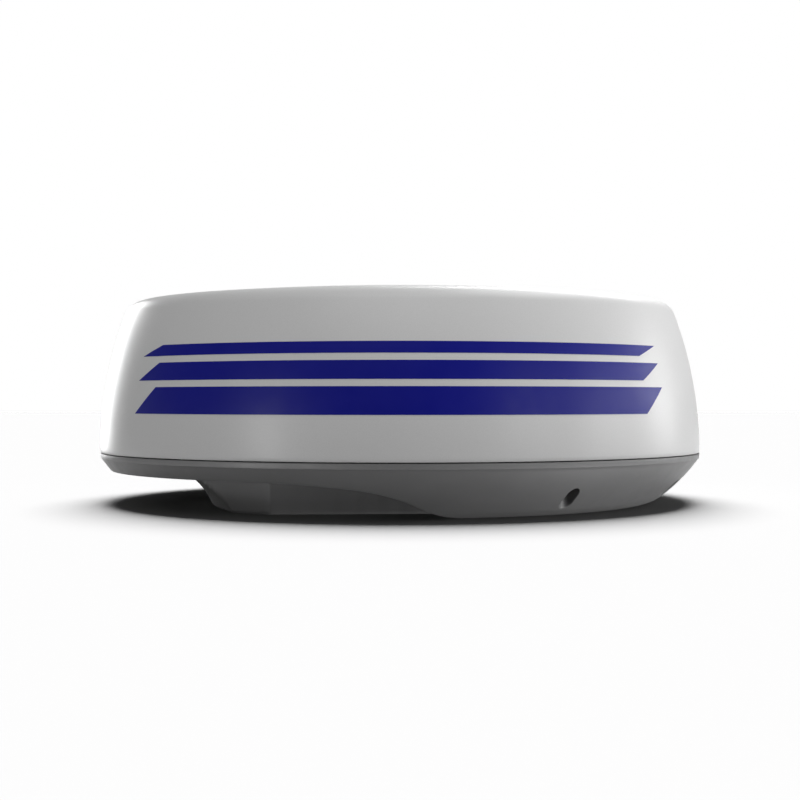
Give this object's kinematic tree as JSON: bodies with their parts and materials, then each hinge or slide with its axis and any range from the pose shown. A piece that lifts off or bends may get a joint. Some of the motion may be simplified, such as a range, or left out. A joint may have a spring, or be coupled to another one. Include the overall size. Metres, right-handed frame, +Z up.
{
  "type": "radar dome antenna",
  "caption": "Closed marine radar dome: light radome cover on a dark base with an aft plug bay, and a belt-driven antenna array turning inside on a vertical shaft.",
  "frame": {"origin": "centre of the base's flat bottom, where it stands on its mount", "axes": "+Z up along the antenna's turning axis, +X towards the bow side with the full skirt, -X towards the plug bay, -Y the side seen in the front view"},
  "size_m": [0.6096, 0.6096, 0.2145],
  "materials": {
    "aluminium": "machined",
    "bearing_steel": "ground",
    "belt": "matt",
    "black_anodised": "black anodised",
    "black_plastic": "satin",
    "board_green": "solder mask, satin",
    "brass": "machined",
    "cast_aluminium": "die cast, bead blasted",
    "chip_black": "matt",
    "copper": "plated",
    "gold": "polished",
    "housing": "moulded dark grey, satin",
    "lead_black": "satin sheath",
    "lead_grey": "satin sheath",
    "lead_red": "satin sheath",
    "membrane": "matt",
    "motor_black": "satin black",
    "nickel": "plated, satin",
    "polished_steel": "polished",
    "radome": "light grey-white gelcoat, satin gloss",
    "rubber": "matt",
    "stainless": "satin",
    "tray_white": "matt"
  },
  "bodies": {
    "base": {"base_housing": "housing", "bearing_balls": "polished_steel", "bearing_housing": "cast_aluminium", "bearing_retainer": "aluminium", "bearing_spacer": "aluminium", "board_screws": "stainless", "board_standoffs": "brass", "connector_nut": "nickel", "connector_pins": "gold", "connector_receptacle": "black_plastic", "connector_seal": "rubber", "cover_inserts": "brass", "cover_screws": "stainless", "drive_belt": "belt", "drive_motor": "motor_black", "ground_screw": "brass", "housing_screws": "stainless", "lower_bearing_outer": "bearing_steel", "main_board": "board_green", "main_board_parts": "chip_black", "motor_bracket": "aluminium", "motor_lead": "lead_red", "motor_screws": "stainless", "mount_inserts": "brass", "power_board": "board_green", "power_board_parts": "chip_black", "power_lead": "lead_black", "radome_cover": "radome", "rim_gasket": "rubber", "rotary_joint_stator": "nickel", "screw_seals": "rubber", "sensor_chip": "chip_black", "sensor_post": "aluminium", "shield_cans": "nickel", "signal_lead": "lead_grey", "upper_bearing_outer": "bearing_steel", "vent_membrane": "membrane", "vent_plug": "black_plastic"},
    "antenna": {"antenna_shaft": "bearing_steel", "lower_bearing_inner": "bearing_steel", "upper_bearing_inner": "bearing_steel", "shaft_locknut": "bearing_steel", "driven_pulley": "black_anodised", "sensor_magnet": "nickel", "turntable": "aluminium", "pulley_screws": "stainless", "array_backplate": "aluminium", "array_board": "board_green", "array_patches": "copper", "array_cover": "tray_white", "transceiver_board": "board_green", "transceiver_shield": "cast_aluminium", "counterweight": "bearing_steel", "array_screws": "stainless", "rotary_joint_rotor": "nickel", "array_lead": "lead_grey"},
    "motor": {"motor_shaft": "bearing_steel", "motor_rotor": "nickel", "drive_pulley": "aluminium", "pulley_set_screw": "stainless"}
  },
  "joints": [
    {"name": "antenna_spin", "type": "hinge", "parent": "base", "child": "antenna", "pos_m": [0, 0, 0.076], "axis": [0, 0, 1], "continuous": true, "deforming": ["drive_belt"]},
    {"name": "motor_spin", "type": "hinge", "parent": "base", "child": "motor", "pos_m": [0, -0.09584, 0.076], "axis": [0, 0, 1], "continuous": true}
  ],
  "couplings": [
    {"joint": "motor_spin", "follows": "antenna_spin", "ratio": 6}
  ]
}
